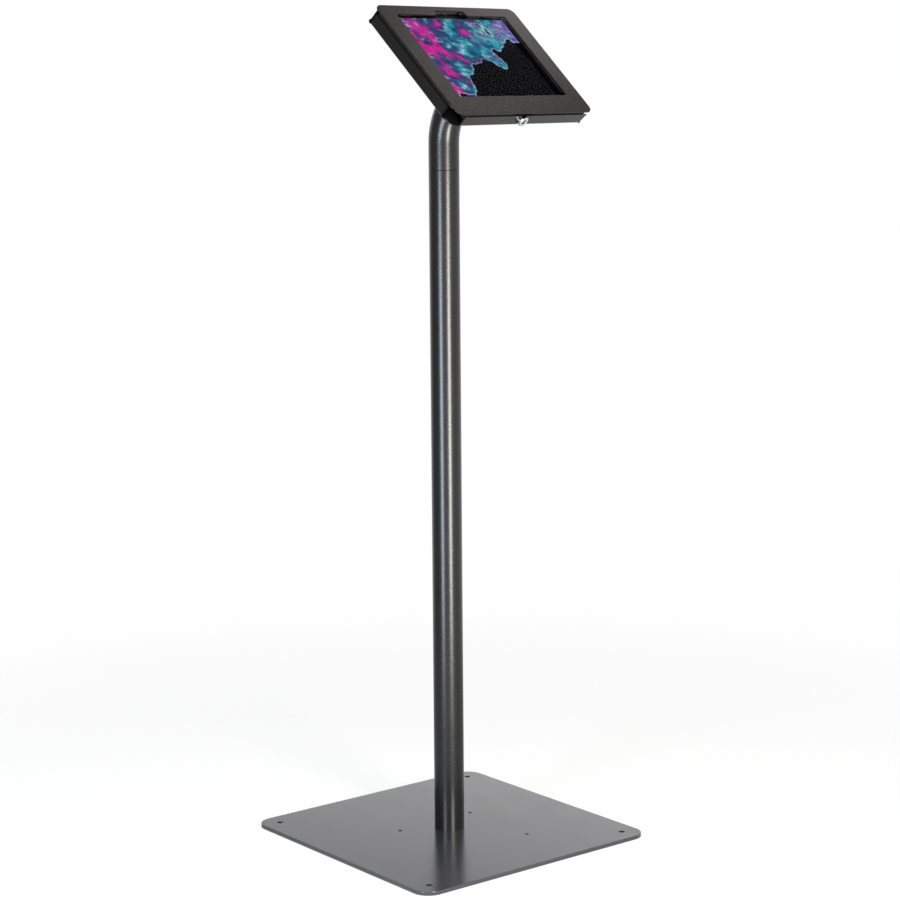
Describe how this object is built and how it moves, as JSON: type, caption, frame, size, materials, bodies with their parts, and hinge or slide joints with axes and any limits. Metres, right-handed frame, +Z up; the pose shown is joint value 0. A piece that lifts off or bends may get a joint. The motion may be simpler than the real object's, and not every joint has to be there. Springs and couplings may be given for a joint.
{
  "type": "tablet security kiosk stand",
  "caption": "Floor stand with a square steel base, round post and bent neck that holds a tablet in a tilted, hinged and key-locked steel enclosure.",
  "frame": {"origin": "on the floor under the centre of the square base, where the post's axis meets the floor", "axes": "+Z up along the post, X and Y along the base's sides; the screen faces -Y turned 11.6 degrees towards +X, and tilts back 45 degrees; +X is to the right of someone facing the screen"},
  "size_m": [0.457, 0.457, 1.3227],
  "materials": {
    "powder_coat_base": "fine textured charcoal powder coat on plate steel",
    "powder_coat_post": "satin charcoal powder coat on steel tube",
    "powder_coat_cover": "fine textured charcoal powder coat",
    "powder_coat_tray": "fine textured black powder coat on sheet steel",
    "rubber_black": "matt black rubber",
    "zinc_steel": "bright zinc-plated steel",
    "bare_steel": "turned steel, lightly oiled",
    "black_oxide": "black oxide steel",
    "spring_steel": "dark spring steel",
    "hinge_pin_steel": "bright drawn wire",
    "friction_plastic": "natural nylon",
    "foam": "black closed-cell foam",
    "tablet_aluminium": "fine blasted silver anodising",
    "tablet_button": "silver anodising",
    "screen_black": "black print behind glass",
    "display": null,
    "lens": "dark camera lens",
    "screen_glass": "clear cover glass",
    "lock_chrome": "polished chrome",
    "lock_plug_chrome": "satin chrome key cylinder"
  },
  "bodies": {
    "stand": {"base_plate": "powder_coat_base", "foot_pads": "rubber_black", "post_bolts": "zinc_steel", "post_foot_plug": "bare_steel", "post_tube": "powder_coat_post", "post_cable_plug": "rubber_black", "neck_coupler": "bare_steel", "coupler_screws": "black_oxide"},
    "neck": {"neck_set_screw": "black_oxide", "neck_tube": "powder_coat_post", "neck_flange": "powder_coat_post", "stop_pin": "bare_steel", "rear_friction_washer": "friction_plastic", "pivot_bolt": "zinc_steel", "front_friction_washer": "friction_plastic", "disc_spring": "spring_steel"},
    "head": {"swivel_plate": "zinc_steel", "swivel_screws": "zinc_steel", "tray": "powder_coat_tray", "tray_cable_plug": "rubber_black", "tablet_back_shell": "tablet_aluminium", "screen_border": "screen_black", "display_panel": "display", "camera_lens": "lens", "tablet_glass": "screen_glass", "tablet_rest_pads": "foam", "tablet_side_spacers": "foam", "tablet_bottom_spacers": "foam", "tablet_top_spacers": "foam", "hinge_tray_leaves": "black_oxide", "hinge_pins": "hinge_pin_steel", "lock_housing": "lock_chrome", "lock_washer": "zinc_steel", "lock_nut": "zinc_steel"},
    "cover": {"cover_plate": "powder_coat_cover", "cover_side_lips": "powder_coat_tray", "cover_bottom_lips": "powder_coat_tray", "cover_keeper": "powder_coat_tray", "cover_foam_strips": "foam", "hinge_cover_leaves": "black_oxide"},
    "lock": {"lock_plug": "lock_plug_chrome", "lock_cam": "zinc_steel", "cam_screw": "zinc_steel"},
    "power_button": {"power_button": "tablet_button"},
    "volume_rocker": {"volume_rocker": "tablet_button"}
  },
  "joints": [
    {"name": "neck_turn", "type": "hinge", "parent": "stand", "child": "neck", "pos_m": [0, 0, 1.073], "axis": [0, 0, 1], "range_deg": [-180, 180]},
    {"name": "head_swivel", "type": "hinge", "parent": "neck", "child": "head", "pos_m": [0.0135, -0.06575, 1.22254], "axis": [0.1422, -0.6927, 0.7071], "range_deg": [0, 90]},
    {"name": "cover_hinge", "type": "hinge", "parent": "head", "child": "cover", "pos_m": [0.00081, -0.00396, 1.31814], "axis": [-0.9796, -0.2011, 0], "range_deg": [0, 90]},
    {"name": "cam_lock_turn", "type": "hinge", "parent": "head", "child": "lock", "pos_m": [0.03106, -0.15129, 1.15077], "axis": [-0.1422, 0.6927, 0.7071], "range_deg": [0, 90]},
    {"name": "power_button_press", "type": "slide", "parent": "head", "child": "power_button", "axis": [0.1422, -0.6927, -0.7071], "range_m": [0, 0.0005], "stiffness_N_per_m": 800},
    {"name": "volume_rocker_press", "type": "slide", "parent": "head", "child": "volume_rocker", "axis": [0.1422, -0.6927, -0.7071], "range_m": [0, 0.0005], "stiffness_N_per_m": 800}
  ]
}
